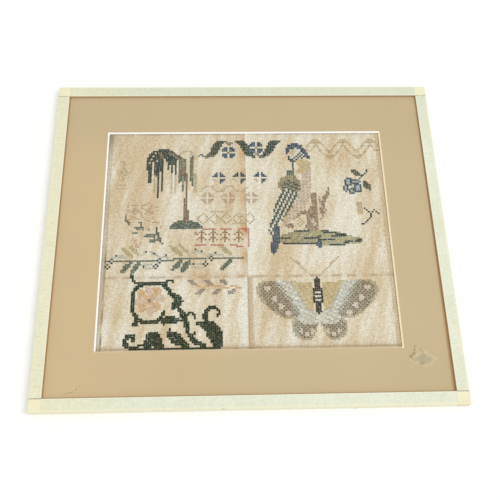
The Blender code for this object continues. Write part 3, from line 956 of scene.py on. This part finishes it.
# Leaf garland
# Dark green leaves that curl like waves, with two four-petalled blue flowers between them.
BLOSSOM = (".##.##.", "###.###", "###.###", "...t...", "###.###", "###.###", ".##.##.")
GARLAND_CURL = ((0, 0), (3.2, 2), (5, 5.4), (7, 8.6), (11, 10.2))
garland_chart = bare()
for leaf_x, way in ((-22, 1), (4.4, -1), (7.4, 1)):
    curl = [(leaf_x + way * out, 46.2 + up) for out, up in GARLAND_CURL]
    sew(garland_chart, stroke(curl, 1.0, 3.6, 4.8, 3.8, 1.0), "garland green")
for tendril in (((-21, 46.2), (-23.6, 47), (-25, 48.2), (-26, 47)), ((-11, 56), (-9.8, 54), (-8, 55.4)),
                ((3.6, 46.4), (5.4, 48.4), (6.4, 47.2), (8, 46.2))):
    sew(garland_chart, stroke(tendril, 1.05), "stem teal")
for blossom_x, blossom_y in ((-13, 52), (2, 55)):
    place_chart(garland_chart, blossom_x, blossom_y, BLOSSOM, {"#": "blue", "t": "stem teal"})
sew_piece("stitches_garland", garland_chart, 22, (0.5, 0.1))

# Small flower rows
# A row of blue flowers with one faded petal each, then a faded scallop line over mauve flowers, a row of
# olive lozenges, and a row of small rust sprigs in a broken red outline.
SMALL_BLOOM = ("..#.#..", ".##.##.", "###.###", ".......", "oo..###", ".o..##.", "....#..")
FADED_BLOOM = ("..o.#..", ".oo.##.", "ooo.###", ".......", "###.###", ".##.##.", "..#.#..")
LOZENGE = ("...#..", "..#.#.", ".#...#", "#.....", ".#...#", "..#.#.", "...#..")
SPRIG = ("..#..", ".###.", "#.#.#", "..#..", ".###.", "#.#.#", "..#..")
rows_chart = bare()
for bloom_x in (-18, -7, 4):
    place_chart(rows_chart, bloom_x, 37, SMALL_BLOOM, {"#": "blue", "o": "ghost olive"})
scallop = (
    (-24, 26), (-22, 28.8), (-19, 29.2), (-16.5, 26.4), (-13.5, 26.2), (-11, 29), (-8, 29), (-5.5, 26.6),
    (-3, 26), (0, 28),
)
sew(rows_chart, stroke(scallop, 1.1), "ghost olive")
for bloom_x in (-24, -13, -1):
    place_chart(rows_chart, bloom_x, 25, FADED_BLOOM, {"#": "faded mauve", "o": "ghost olive"})
for lozenge_x in range(-26, 4, 6):
    place_chart(rows_chart, lozenge_x, 13, LOZENGE, {"#": "faded olive"})
sew(rows_chart, oval(-15.6, 9, 1.4, 2.2) | oval(-4.4, 11.4, 1.2, 2.2), "ghost gold")
sew(rows_chart, bar(-19, -13, 14) | bar(-8, -2, 7), "ghost olive")
sew_piece("stitches_small_rows", rows_chart, 23, (0.2, -0.5))
rust_chart = bare()
for sprig_x in (-26, -20, -14, -7):
    place_chart(rust_chart, sprig_x, 3, SPRIG, {"#": "rust"})
# The red outline's dashes: first and last column, and row.
RED_DASHES = (
    (-23, -17, 4), (-14, -9, 4), (-5, 0, 4), (-2, 0, 3), (-1, 0, 2), (-27, -22, -5), (-19, -13, -5),
    (-9, -6, -5), (-6, -3, -6),
)
for dash in RED_DASHES:
    sew(rust_chart, bar(*dash), "red")
sew(rust_chart, column(0, -6, 4) | column(-27, 1, 2), "red")
sew_piece("stitches_rust_row", rust_chart, 24, (0.3, -0.5))

# Sprigs at the left
# A few dark green sprigs are left of a bouquet, whose pink outlines have faded, under a faded tan lozenge.
sprigs_chart = bare()
# The faded loops: middle and reach.
PINK_LOOPS = (
    (-60.5, 16.4, 1.7), (-56.4, 16.6, 1.9), (-52, 16.8, 2), (-48.8, 15.6, 1.9), (-61, 12.6, 2.2),
    (-56.6, 12, 2.1), (-51.4, 11.6, 2.4), (-57, -4, 2.2),
)
for loop_x, loop_y, loop_reach in PINK_LOOPS:
    from_loop = np.hypot(COLUMN - loop_x, ROW - loop_y)
    sew(sprigs_chart, (np.abs(from_loop - loop_reach) < 0.5) & ((COLUMN * 3 + ROW) % 5 > 0), "ghost pink")
for tendril in (((-49, 8), (-46, 7.4), (-45, 5)), ((-59, -1), (-56, -6))):
    sew(sprigs_chart, stroke(tendril, 1.1), "ghost pink")
lozenge = np.abs(COLUMN + 65.6) + np.abs(ROW - 38) * 0.7 < 3.4
sew(sprigs_chart, lozenge & TWO_OF_THREE | oval(-65.6, 43.6, 1.6, 1.2), "ghost olive")
sew(sprigs_chart, bar(-68, -63, 28) | bar(-67, -64, 30) | bar(-66, -65, 33), "ghost olive")
sew(sprigs_chart, stroke(((-62.6, 11.4), (-63.4, 10), (-62.2, 8.6), (-60.6, 7)), 1.1), "sprig green")
sew(sprigs_chart, stroke(((-55.4, 8), (-54.8, 5.8), (-53.8, 4.2)), 1.3), "sprig green")
sew(sprigs_chart, bar(-58, -56, 5) | bar(-57, -56, 4) | bar(-59, -57, 2) | bar(-51, -51, 4), "sprig green")
sprig_stem = ((-47.4, 4.8), (-47, 2.4), (-46, 0), (-45.2, -2.4), (-44.4, -4))
sew(sprigs_chart, stroke(sprig_stem, 1.1, 1.8, 1.3, 1.0), "green")
sew(sprigs_chart, leaf((-47, 0.8), (-53, 0.2), 1.6) | leaf((-47, -1.4), (-50.6, -3.2), 1.8), "sprig green")
sew_piece("stitches_sprigs", sprigs_chart, 25, (0.3, -0.4))

# Berry vine
# One straight teal stem with pairs of teal leaves below it and faded olive ones above, and black berries
# with white middles among pale blue stitches.
BERRY = (".#.", "#o#", ".#.")
BERRY_PLACES = ((-71, -17), (-69, -14), (-47, -17), (-45, -14), (-22, -16), (-19, -13))
BERRY_DOTS = (
    (-67, -11), (-52, -9), (-48, -10), (-42, -11), (-53, -17), (-27, -8), (-24, -9), (-17, -10), (-28, -16),
)
# One repeat of the vine's leaves: base, tip, width and thread. The last repeat has only the first two.
VINE_LEAVES = (
    ((-58.8, -12), (-64.8, -6.4), 2.2, "faded olive"), ((-59, -14.6), (-64, -20), 2.2, "pale teal"),
    ((-55.2, -11.4), (-60.4, -5.4), 1.4, "faded olive"), ((-55, -14.6), (-59, -20.8), 2.3, "pale teal"),
)
VINE_ARCH = ((-54, -11), (-52.4, -9), (-49, -9.6), (-46, -11))
ICE_STROKES = (
    (((-70, -15), (-69, -12.4), (-66, -11.4), (-62, -12)), 1.3),
    (((-46, -15.4), (-45.6, -12.4), (-43, -12), (-41, -12.4)), 1.2),
    (((-22, -14.4), (-20, -11.4), (-16, -11), (-13, -11.4)), 1.3),
)
vine_chart = bare()
sew(vine_chart, bar(-72, -38, -14) | bar(-38, -3, -13), "stem teal")
for shift_x, shift_y, leaf_count in ((0, 0, 4), (25, 0.6, 4), (50, 0.8, 2)):
    for base, tip, width, thread in VINE_LEAVES[:leaf_count]:
        moved_base = (base[0] + shift_x, base[1] + shift_y)
        moved_tip = (tip[0] + shift_x, tip[1] + shift_y)
        sew(vine_chart, leaf(moved_base, moved_tip, width), thread)
    if leaf_count == len(VINE_LEAVES):
        upper_arch = [(x + shift_x, y) for x, y in VINE_ARCH]
        sew(vine_chart, stroke(upper_arch, 1.4) & ((COLUMN + ROW) % 4 > 0), "ice")
        lower_bars = bar(-54 + shift_x, -49 + shift_x, -16) | bar(-53 + shift_x, -48 + shift_x, -18)
        sew(vine_chart, lower_bars, "ice")
for path, width in ICE_STROKES:
    sew(vine_chart, stroke(path, width), "ice")
for berry_x, berry_y in BERRY_PLACES:
    place_chart(vine_chart, berry_x - 1, berry_y + 1, BERRY, {"#": "black", "o": "white"})
for dot_x, dot_y in BERRY_DOTS:
    sew(vine_chart, bar(dot_x, dot_x, dot_y), "black")
sew_piece("stitches_vine", vine_chart, 26, (0.3, 0.1))

# Green scroll with a flower
# Dark green scrolls and leaves grow from a ground line, and the largest turns round a flower whose petals
# are by turns orange and pink.
scroll_chart = bare()
angle = np.arctan2(ROW + 34.3, COLUMN + 49.2)
reach_out = np.hypot(COLUMN + 49.2, (ROW + 34.3) * 0.92)
petals = reach_out < 6.9 + 0.6 * np.cos(8 * (angle - 0.87))
sew(scroll_chart, petals & (np.cos(4 * (angle - 0.87)) < -0.15), "pink")
sew(scroll_chart, petals & (np.cos(4 * (angle - 0.87)) > 0.1), "orange")
sew(scroll_chart, oval(-49.2, -34.3, 1.2, 1.2), "rust")
SCROLL_RING = (
    (-42.1, -40), (-43, -42.3), (-44.4, -44.4), (-46.4, -45.6), (-50.6, -45.6), (-53.8, -44.6), (-56, -42),
    (-57.4, -39), (-57.6, -35), (-57.4, -31), (-56.5, -28.6), (-55, -26.8), (-52.6, -26.2),
)
# Stems and curls: a path each, and its widths.
SCROLL_STROKES = (
    (((-58.6, -21), (-58.2, -22.6), (-57.2, -24.4), (-55.6, -25)), 1.7, 1.3),
    (((-45.8, -25.4), (-43.2, -26), (-41, -27.8), (-39.6, -29.6), (-38.8, -31.2), (-37.6, -32.6)),
     2.0, 2.6, 2.0, 2.0),
    (((-41.4, -26.8), (-41.3, -25), (-40.3, -23.8), (-38.4, -23.8), (-37.6, -24.8)), 1.4, 1.2),
    (((-57, -41), (-55.8, -43), (-55.2, -45), (-55.4, -46.4), (-56.8, -46.6), (-57.6, -45.6)),
     1.6, 2.0, 1.7, 1.0),
    (((-35.3, -37.4), (-34.4, -39.6), (-33, -42), (-31.9, -44), (-31.2, -46.4), (-30.6, -49.4), (-29.8, -52),
      (-28, -54.6), (-25.4, -56.6), (-22, -57.4)), 1.2, 2.0, 3.4, 3.0, 2.2, 1.6, 2.4, 2.4, 1.6),
    (((-31, -42), (-29.6, -41.4), (-28, -41.6), (-27, -43), (-27.4, -44.4)), 1.3, 1.2),
    (((-42.4, -45.4), (-42.2, -46.4), (-41.4, -47.4)), 1.5, 1.1),
    (((-56.6, -54.6), (-56.2, -53.2), (-57.4, -52.2), (-59.4, -52.8), (-60.2, -55), (-59.6, -57.2),
      (-57.6, -58.2), (-54, -58)), 1.5, 2.2, 2.4, 2.3, 1.8),
    (((-54.2, -57), (-51, -57)), 1.1),
    (((-29, -54), (-28.2, -52), (-26.8, -51.4)), 1.2),
    (((-27.4, -54.6), (-26.4, -53.4)), 1.1),
    (((-21.8, -44), (-21.8, -42), (-20.8, -39.6), (-18.8, -38.4), (-16.8, -38.6), (-15.4, -40),
      (-15.1, -41.8), (-16.2, -42.8)), 2.8, 2.2, 1.7, 1.5, 1.2),
    (((-39.4, -52), (-39.4, -50), (-38.6, -49)), 1.1),
)
# Leaves: a bent stroke each, and its widths.
SCROLL_LEAVES = (
    (((-37, -32), (-35.4, -35), (-38, -38.6)), 2.4, 5, 2),
    (((-43, -45.6), (-39, -44.4), (-34.4, -45)), 1.6, 4.4, 1.8),
    (((-50, -58), (-47, -54), (-43.4, -58)), 3.4, 7.4, 3.4),
    (((-39.6, -51.6), (-36, -54), (-30.4, -58)), 2.2, 6, 2),
    (((-25.6, -46.4), (-20.4, -48), (-17.4, -52), (-15.8, -57.6)), 1.8, 6, 7.6, 4.4),
)
GROUND_ROW = -59
sew(scroll_chart, stroke(SCROLL_RING, 1.5, 1.8, 1.9, 2.0, 2.0, 1.9), "dark green")
for path, *stroke_widths in SCROLL_STROKES:
    sew(scroll_chart, stroke(path, *stroke_widths), "dark green")
for path, *leaf_widths in SCROLL_LEAVES:
    sew(scroll_chart, stroke(path, *leaf_widths) & (ROW >= GROUND_ROW), "dark green")
sew(scroll_chart, bar(-57, -46, -25) | bar(-55, -45, -26) | bar(-58, -15, GROUND_ROW), "dark green")
sew_piece("stitches_scroll", scroll_chart, 27, (0.1, -0.6))

# Faded branch
# An orange-tan stem with mauve leaves above and below it.
branch_chart = bare()
branch_path = ((-26, -27), (-22, -27.6), (-19, -26.6), (-15, -27), (-12, -28), (-8, -27.2), (-4, -28))
sew(branch_chart, stroke(branch_path, 1.05), "orange")
for leaf_x in (-26, -18, -10.6):
    sew(branch_chart, leaf((leaf_x, -26), (leaf_x - 4, -23.6), 1.8), "mauve")
    sew(branch_chart, leaf((leaf_x + 4, -29), (leaf_x, -31.4), 1.8), "mauve")
sew_piece("stitches_branch", branch_chart, 28, (-0.2, -0.8))

# Perching bird
# A long-tailed bird with a blue crown, a gold neck, an olive back, a dotted pink breast, a wing of green
# and white scales and a blue tail. It leans towards the brown stump on its right.
bird_chart = bare()
breast = stroke(((31.6, 38.4), (31.6, 32), (29.4, 22), (24.6, 13), (19.4, 6.6)), 5.4, 5.4, 7, 5.4, 2.2)
sew(bird_chart, breast, "breast")
sew(bird_chart, breast & EVERY_OTHER & (ROW % 2 == 0), "faded mauve")
neck = stroke(((28.4, 43.4), (31.6, 41.8), (31, 39.6), (27.2, 37.2)), 3.4, 5.6, 4.4, 2)
sew(bird_chart, neck, "gold")
sew(bird_chart, neck & ((COLUMN + ROW) % 3 == 0), "ghost gold")
sew(bird_chart, stroke(((27.6, 24), (25.4, 20.2), (22.8, 16), (20.6, 11.8), (18.6, 8)), 1.1), "faded olive")
back = oval(22.8, 29.6, 6.2, 5.6) | oval(23.6, 34, 3, 2.6)
sew(bird_chart, back, "olive")
sew(bird_chart, back & ((COLUMN * 2 + ROW) % 5 < 2), "stump")
middle = oval(23.6, 28.4, 4.8, 4)
sew(bird_chart, middle & ((COLUMN + 2 * ROW) % 5 < 3), "green")
sew(bird_chart, oval(23.4, 36.8, 2, 1.8), "pale teal")
wing_patch = stroke(((21.8, 22.6), (18.6, 17), (15, 9), (11.4, 1.4)), 9.4, 8.4, 5, 1.6)
wing_patch &= 2 * COLUMN + 5 * ROW < 185
sew(bird_chart, wing_patch, "green")
sew(bird_chart, wing_patch & ((2 * COLUMN - ROW) % 5 < 2), "white")
sew(bird_chart, stroke(((15.4, 4.2), (14.2, -3), (13, -8.4)), 3, 4.2, 3.4), "blue")
sew(bird_chart, oval(26.4, 48.8, 3.4, 3), "white")
crown = (
    (22.3, 49.4), (22.8, 51.8), (24.4, 53.2), (27, 53.6), (29.2, 53), (31, 50.6), (32.4, 48.2), (33.4, 46.4),
)
sew(bird_chart, oval(25, 49.4, 1.7, 1.7), "ghost gold")
sew(bird_chart, oval(25, 49.4, 0.7, 0.7), "gold")
cheek = stroke(((31, 50.2), (30, 48), (28, 46.2), (26, 44.8), (24.8, 43.4)), 2.8, 3.0, 2.2, 1.6)
sew(bird_chart, cheek, "white")
sew(bird_chart, cheek & EVERY_OTHER, "teal")
sew(bird_chart, stroke(crown, 1.6, 2.6, 3.2, 3.2, 2.4, 2.0, 1.8), "blue")
sew(bird_chart, stroke(((22.8, 46.8), (23.4, 45.2)), 1.5) | bar(24, 24, 44), "teal")
sew(bird_chart, stroke(((24.8, 43.6), (24.9, 40.5), (24.8, 38)), 1.1), "green")
sew_piece("stitches_bird", bird_chart, 29, (0, -0.6))

# Stump and ground
# The stump forks into mottled brown branches and stands on a bank of olive rows with teal shadows.
ground_chart = bare()
stump = stroke(((34.8, 23.6), (35, 17.6), (33.6, 11), (33.4, 4.6)), 2.8, 3.4, 5.6, 7)
hollow = oval(34, 7, 1.2, 2.8)
fork = ((43.2, 26.4), (42.4, 23.6), (41, 21.6), (39.8, 18.4), (39, 15), (38.4, 12.4))
sew(ground_chart, stroke(((38.2, 22), (38.2, 18), (37.8, 14)), 1.3) | hollow, "breast")
sew(ground_chart, stump & ~hollow, "stump")
sew(ground_chart, stroke(fork, 1.6, 2.8, 2.2, 1.8), "stump")
sew(ground_chart, stroke(((30, 13), (27.6, 12.2), (25.6, 10.4), (24.2, 9.2)), 2.2, 1.8, 1.2), "stump")
sew(ground_chart, oval(22, 5, 2.2, 1.8), "stump")
sew(ground_chart, (ground_chart > 0) & ((COLUMN * 2 + ROW * 3) % 7 < 1), "faded mauve")
sew(ground_chart, (ground_chart > 0) & ((COLUMN * 3 + ROW * 2) % 11 < 2), "brown")
sew(ground_chart, stroke(((41, 13.4), (39.6, 11.6), (38, 9)), 1.3) & TWO_OF_THREE, "mauve")
weeds = oval(27.4, 7.2, 2, 2.6)
sew(ground_chart, weeds & EVERY_OTHER, "faded olive")
bank = stroke(((19.4, -2.6), (29, -1.4), (44, -2.4), (57.6, -3.6)), 6.6, 8.8, 8.4, 2.8)
sew(ground_chart, bank, "bank olive")
sew(ground_chart, bank & (COLUMN % 4 == 0) & (COLUMN > 34), "faded olive")
sew(ground_chart, bank & (COLUMN < 34) & ((COLUMN + 3 * ROW) % 4 > 1), "olive")
draw = np.random.default_rng(41)
for shadow_row in range(-6, 4):
    for shadow_x in draw.integers(15, 57, 3):
        sew(ground_chart, bar(shadow_x, shadow_x + draw.integers(1, 8), shadow_row) & bank, "teal")
sew(ground_chart, bar(18, 34, -5) & bank | bar(23, 31, 2) & bank, "teal")
sew(ground_chart, bar(35, 37, -5) | bar(35, 37, -6) | bar(36, 37, -7), "blue")
sew_piece("stitches_ground", ground_chart, 30, (0.2, -0.1))

# Butterfly
# It is the same on both sides of its black and cream body: grey outer wings with pale spots, then pale
# blue, and gold next to the body. Thin gold feelers stand above the fold.
BODY_X = 34
FORE_OUTLINE = (
    (2.4, -26), (16, -24.4), (27, -24.6), (30.4, -30), (25, -39), (16, -44.6), (7, -43), (2.4, -40.6),
)
HIND_OUTLINE = ((1, -42), (9, -42.8), (14, -48), (10.6, -54.6), (4.6, -55.2), (1.2, -49))
FORE_MIDDLE = (14, -33)
HIND_MIDDLE = (7, -48.4)
moth_chart = bare()
from_body = np.abs(COLUMN - BODY_X)


def both_sides(mask):
    """A mask charted right of the body, with its mirror image left of it."""
    mirrored = np.zeros_like(mask)
    source = 2 * BODY_X - COLUMN[0]
    known = (source >= COLUMN[0, 0]) & (source <= COLUMN[0, -1])
    mirrored[:, known] = mask[:, source[known] - COLUMN[0, 0]]
    return mask | mirrored


def wing(outline, middle=(0, 0), size=1.0):
    """A smooth outline given as steps out from the body, scaled about its middle, on both sides."""
    middle = np.array(middle)
    steps = middle + (np.array(outline) - middle) * size
    return both_sides(patch(steps + (BODY_X, 0)))


forewing = wing(FORE_OUTLINE)
fore_middle = wing(FORE_OUTLINE, FORE_MIDDLE, 0.9)
outer_limit = 20.4 + 0.62 * (ROW + 26)
inner_limit = 13.2 + 0.5 * (ROW + 25)
sew(moth_chart, forewing, "moth edge")
sew(moth_chart, fore_middle & (from_body > outer_limit), "moth grey")
sew(moth_chart, fore_middle & (from_body > outer_limit) & EVERY_OTHER, "moth dark")
inner_wing = forewing & (from_body <= outer_limit)
sew(moth_chart, inner_wing, "moth blue")
sew(moth_chart, inner_wing & (from_body > outer_limit - 2) & EVERY_OTHER, "grey green")
sew(moth_chart, inner_wing & (from_body <= outer_limit - 2) & SLANTED_DOTS, "moth pale")
gold_part = forewing & (from_body <= inner_limit) & (ROW > -41)
sew(moth_chart, gold_part, "moth gold")
sew(moth_chart, gold_part & ((2 * COLUMN + ROW) % 5 < 1), "ghost gold")
sew(moth_chart, forewing & (np.abs(from_body - inner_limit) < 0.8) & (ROW % 2 == 0) & (ROW > -41), "ice")
sew(moth_chart, wing(HIND_OUTLINE), "moth edge")
hind_middle = wing(HIND_OUTLINE, HIND_MIDDLE, 0.84)
sew(moth_chart, hind_middle, "moth grey")
sew(moth_chart, hind_middle & EVERY_OTHER, "moth dark")
hind_blue = both_sides(oval(BODY_X + 5.4, -44, 5.2, 4))
sew(moth_chart, hind_blue, "moth blue")
sew(moth_chart, hind_blue & SLANTED_DOTS, "moth pale")
spots = np.zeros_like(forewing)
for share in np.linspace(0, 1, 4):
    spots |= oval(BODY_X + 25 - 10 * share, -28.6 - 13 * share**0.8, 1.5, 1.4)
for spot_x in (3.8, 6.6, 9.4):
    spots |= oval(BODY_X + spot_x, -52.2 + 0.15 * (spot_x - 6.6) ** 2, 1.1, 1.1)
sew(moth_chart, both_sides(spots), "moth spot")
body = oval(BODY_X, -32.4, 2.6, 6.4) | oval(BODY_X, -39.4, 1.3, 3.4) | oval(BODY_X, -24.6, 1.4, 2.2)
sew(moth_chart, body, "black")
sew(moth_chart, (from_body <= 1) & ((ROW == -31) | (ROW == -33) | (ROW == -35)), "white")
sew_piece("stitches_butterfly", moth_chart, 31, (0, -0.8))
feeler_chart = bare()
feeler = ((BODY_X + 1.4, -22.4), (BODY_X + 4.8, -19.2), (BODY_X + 8.6, -15), (BODY_X + 12.4, -11.4))
sew(feeler_chart, both_sides(stroke(feeler, 0.9)), "faded gold")
sew_piece("stitches_feelers", feeler_chart, 32, (-0.5, -0.9))

# Gold scrolls
# A double wave of faded gold runs along the top right corner, and thickens at each crest.
gold_chart = bare()
WAVE_ROW = 51.2
gold_wave = [(34.2 + 3.75 * step, WAVE_ROW + 4.2 * np.sin(np.pi / 2 * step)) for step in range(11)]
band = stroke(gold_wave, 4.2)
sew(gold_chart, band & ~stroke(gold_wave, 2.2), "gold scroll")
for curl_x, way in ((38, 1), (45.5, -1), (53, 1), (60.5, -1), (68, 1)):
    sew(gold_chart, band & (np.abs(COLUMN - curl_x) < 2.7) & ((ROW - WAVE_ROW) * way > 3.4), "faded gold")
sew_piece("stitches_gold_scrolls", gold_chart, 33)

# Blue flower and twig
# A five-petalled flower outlined in blue on a dotted stem with two teal leaves, above a small forked twig.
# Each petal: its middle, and its reach across and up, in stitches.
BLUE_PETALS = (
    (53.6, 31, 2.2, 2.6), (57.4, 30.9, 2.9, 1.8), (52, 27, 1.7, 2.4), (55.2, 25.4, 2.0, 1.9),
    (58.7, 27.2, 2.3, 2.7),
)
bloom_chart = bare()
for petal_x, petal_y, reach_x, reach_y in BLUE_PETALS:
    sew(bloom_chart, oval(petal_x, petal_y, reach_x, reach_y), "blue")
for petal_x, petal_y, reach_x, reach_y in BLUE_PETALS:
    sew(bloom_chart, oval(petal_x, petal_y, reach_x - 1, reach_y - 1), "dull blue")
sew(bloom_chart, leaf((61, 34.8), (55.4, 37.9), 2.4) | leaf((61.8, 31.6), (65.2, 26), 2.9), "green")
sew(bloom_chart, stroke(((60, 33), (62, 35), (64, 37), (64, 38)), 0.8), "teal")
sew(bloom_chart, stroke(((61, 15), (64, 12), (66, 14), (68, 12)), 0.8), "teal")
sew(bloom_chart, stroke(((64, 12), (64, 10), (61, 7), (59, 6)), 0.8), "teal")
sew_piece("stitches_blue_flower", bloom_chart, 34, (0.5, -0.3))
blush_chart = bare()
sew(blush_chart, (COLUMN >= 58) & (COLUMN <= 60) & (ROW >= 12) & (ROW <= 18), "faded gold")
sew(blush_chart, (COLUMN >= 58) & (COLUMN <= 60) & (ROW >= 14) & (ROW <= 16), "ghost pink")
sew_piece("stitches_pink_block", blush_chart, 35)
